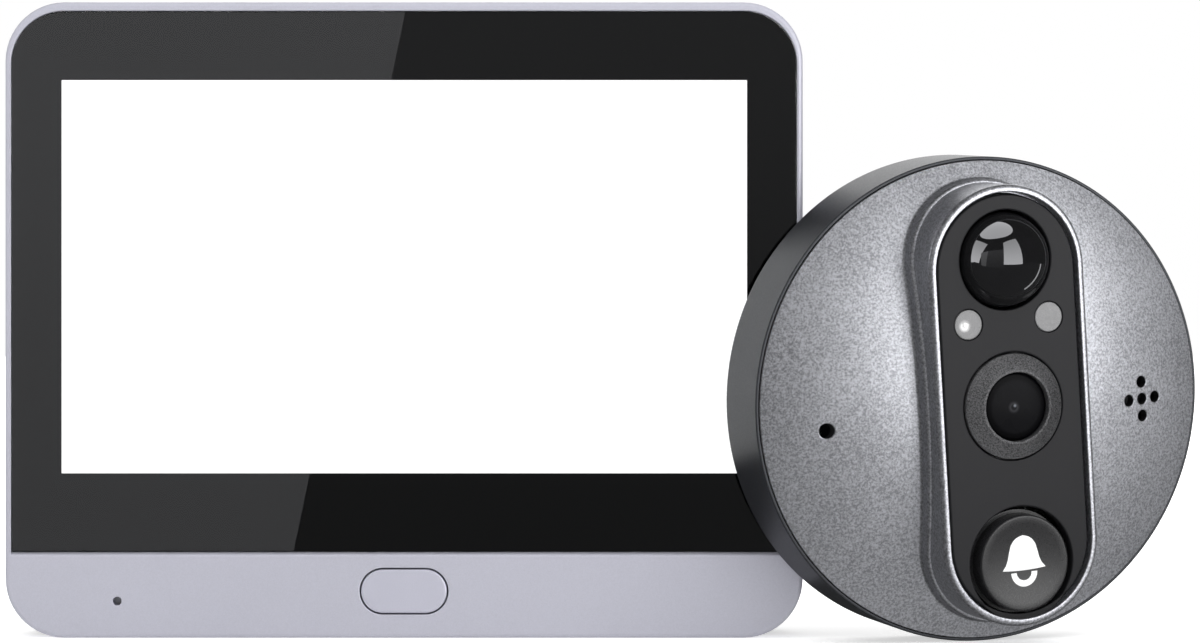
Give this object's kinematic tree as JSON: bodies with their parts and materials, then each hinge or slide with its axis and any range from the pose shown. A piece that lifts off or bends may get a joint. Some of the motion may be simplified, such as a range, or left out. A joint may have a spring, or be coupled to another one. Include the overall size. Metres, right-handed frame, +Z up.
{
  "type": "video doorbell with monitor",
  "caption": "Flat indoor monitor with a wide screen and a long button, beside a round door camera unit whose raised capsule holds a motion sensor, a lens and a bell button.",
  "frame": {"origin": "the middle of the monitor's bottom face, on the surface that it stands on", "axes": "+X to the right as the viewer sees the screen, -Y out of the screen towards the viewer, +Z up"},
  "size_m": [0.166, 0.0403, 0.088],
  "materials": {
    "silver_paint": "fine silver paint on plastic, satin",
    "front_glass": "clear flat glass, polished",
    "black_print": "black print on the back of glass",
    "display": "lit white display",
    "sheet_steel": "zinc plated sheet steel",
    "button_silver": "satin silver plastic",
    "graphite": "fine textured graphite plastic",
    "black_plastic": "black moulded plastic",
    "circuit_board": "black circuit board",
    "chip_black": "black chip packages",
    "screw_steel": "nickel plated screws",
    "pouch_foil": "battery pouch in grey foil",
    "socket_metal": "nickel plated socket shell",
    "copper_film": "copper antenna on amber film",
    "flecked_silver": "silver grey metallic paint with fine flecks",
    "cup_grey": "satin dark grey paint",
    "panel_grey": "satin dark grey plastic",
    "gloss_black": "black infrared plastic, polished",
    "lens_black": "dark coated lens glass",
    "window_clear": "pale diffusing window",
    "lamp_yellow": "white lamp package",
    "icon_white": "white inlaid plastic",
    "seal_rubber": "black rubber",
    "pad_foam": "black closed cell foam",
    "boss_alloy": "turned aluminium",
    "brass": "turned brass"
  },
  "bodies": {
    "main": {"backlight_tray": "sheet_steel", "battery": "pouch_foil", "bell_switch": "black_plastic", "board_chips": "chip_black", "board_link": "black_plastic", "board_screws": "screw_steel", "board_shield": "sheet_steel", "boss_screws": "screw_steel", "camera_module": "black_plastic", "card_socket": "socket_metal", "charge_socket": "socket_metal", "cover_glass": "front_glass", "door_board": "circuit_board", "door_board_screws": "screw_steel", "door_housing": "cup_grey", "door_pad": "pad_foam", "face_gasket": "seal_rubber", "face_screws": "screw_steel", "face_shell": "flecked_silver", "front_board": "circuit_board", "front_frame": "silver_paint", "front_panel": "panel_grey", "glass_mask": "black_print", "housing_screws": "screw_steel", "indoor_microphone": "socket_metal", "indoor_speaker": "black_plastic", "lamp_window": "window_clear", "lcd_panel": "display", "lens_barrel": "black_plastic", "lens_glass": "lens_black", "lens_ring": "panel_grey", "light_sensor": "black_plastic", "main_board": "circuit_board", "microphone_boot": "seal_rubber", "mount_boss": "boss_alloy", "outdoor_microphone": "socket_metal", "outdoor_speaker": "black_plastic", "pir_lens": "gloss_black", "pir_sensor": "socket_metal", "power_switch": "black_plastic", "rear_housing": "graphite", "reset_switch": "black_plastic", "ribbon_socket": "black_plastic", "sensor_window": "window_clear", "threaded_inserts": "brass", "view_switch": "black_plastic", "white_lamp": "lamp_yellow", "wifi_antenna": "copper_film"},
    "bell_cap": {"bell_button": "panel_grey", "bell_icon": "icon_white"},
    "view_cap": {"view_button": "button_silver"},
    "switch_knob": {"power_knob": "black_plastic"},
    "bracket": {"door_bracket": "sheet_steel"}
  },
  "joints": [
    {"name": "bell_press", "type": "slide", "parent": "main", "child": "bell_cap", "axis": [-0.3413, 0.9376, 0.0663], "range_m": [0, 0.0008], "stiffness_N_per_m": 1500, "springref_m": -0.0003},
    {"name": "view_press", "type": "slide", "parent": "main", "child": "view_cap", "axis": [0, 1, 0], "range_m": [0, 0.0005], "stiffness_N_per_m": 2000, "springref_m": -0.0003},
    {"name": "power_slide", "type": "slide", "parent": "main", "child": "switch_knob", "axis": [0, 0, 1], "range_m": [0, 0.002]},
    {"name": "bracket_unhook", "type": "slide", "parent": "main", "child": "bracket", "axis": [0, 0, -1], "range_m": [0, 0.0046]}
  ]
}
